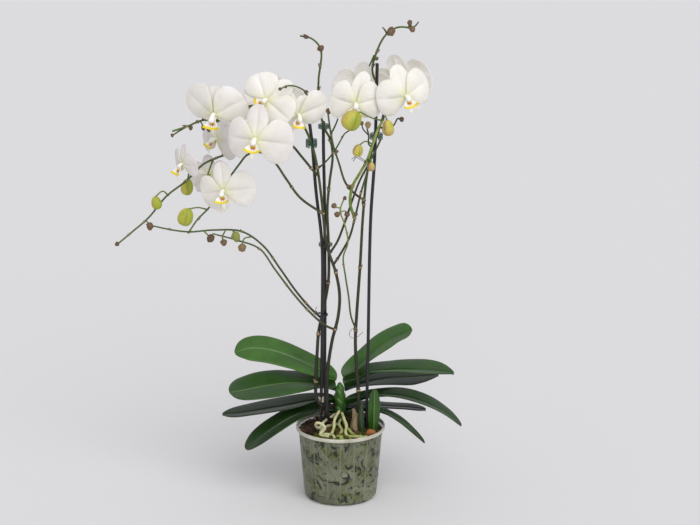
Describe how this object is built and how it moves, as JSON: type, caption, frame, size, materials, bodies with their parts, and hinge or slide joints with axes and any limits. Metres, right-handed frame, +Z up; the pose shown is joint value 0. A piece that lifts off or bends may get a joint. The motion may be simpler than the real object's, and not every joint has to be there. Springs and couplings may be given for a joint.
{
  "type": "potted orchid",
  "caption": "White moth orchid with arching flower spikes tied to dark stakes, thick strap leaves and aerial roots, growing in bark in a clear nursery pot.",
  "frame": {"origin": "centre of the flat underside of the pot, on the surface it rests on", "axes": "+Z up along the pot's axis and the flower spikes, -Y towards the front that most flowers face, +X to the right as seen from the front"},
  "size_m": [0.4579, 0.1699, 0.644],
  "materials": {
    "pot_plastic": "clear, thin and slightly hazy, with a milky rim",
    "bark_mix": "rough damp bark chips with moss",
    "crown_tissue": "waxy living tissue, semi-gloss",
    "stake_plastic": "smooth, semi-gloss",
    "stem_tissue": "waxy living stem, satin",
    "leaf_tissue": "thick waxy living leaf, glossy",
    "root_tissue": "matt pale skin",
    "petal_tissue": "soft, thin, matt, a little translucent",
    "bud_tissue": "waxy living bud, satin",
    "clip_plastic": "clear blue-green, glossy"
  },
  "bodies": {
    "root": {"pot": "pot_plastic", "crown": "crown_tissue", "growing_mix": "bark_mix", "stake_left": "stake_plastic", "stake_middle": "stake_plastic", "stake_right": "stake_plastic", "spike_left": "stem_tissue", "spike_middle": "stem_tissue", "spike_right": "stem_tissue", "branch_low_left": "stem_tissue", "branch_far_left": "stem_tissue", "branch_arch_inner": "stem_tissue", "branch_arch_outer": "stem_tissue", "branch_cross_back": "stem_tissue", "branch_cross_front": "stem_tissue", "branch_inner_right": "stem_tissue", "branch_light_front": "stem_tissue", "branch_thin": "stem_tissue", "branch_big_bud": "stem_tissue", "leaf_left_top": "leaf_tissue", "leaf_left_wide": "leaf_tissue", "leaf_left_low": "leaf_tissue", "leaf_left_droop": "leaf_tissue", "leaf_right_top": "leaf_tissue", "leaf_right_wide": "leaf_tissue", "leaf_right_back": "leaf_tissue", "leaf_right_hook": "leaf_tissue", "leaf_right_dark": "leaf_tissue", "leaf_right_droop": "leaf_tissue", "leaf_young": "leaf_tissue", "root_left": "root_tissue", "root_front": "root_tissue", "root_right": "root_tissue", "flower_01": "petal_tissue", "flower_02": "petal_tissue", "flower_03": "petal_tissue", "flower_04": "petal_tissue", "flower_05": "petal_tissue", "flower_06": "petal_tissue", "flower_07": "petal_tissue", "flower_08": "petal_tissue", "flower_09": "petal_tissue", "flower_10": "petal_tissue", "flower_11": "petal_tissue", "flower_12": "petal_tissue", "flower_13": "petal_tissue", "bud_big": "bud_tissue", "bud_right": "bud_tissue", "bud_centre": "bud_tissue", "bud_brown": "bud_tissue", "bud_left_yellow": "bud_tissue", "bud_left_green": "bud_tissue", "bud_left_low": "bud_tissue", "clip_left": "clip_plastic", "clip_middle": "clip_plastic", "clip_right": "clip_plastic", "tie_upper": "clip_plastic", "tie_lower": "clip_plastic", "ring_low": "clip_plastic"}
  },
  "joints": []
}
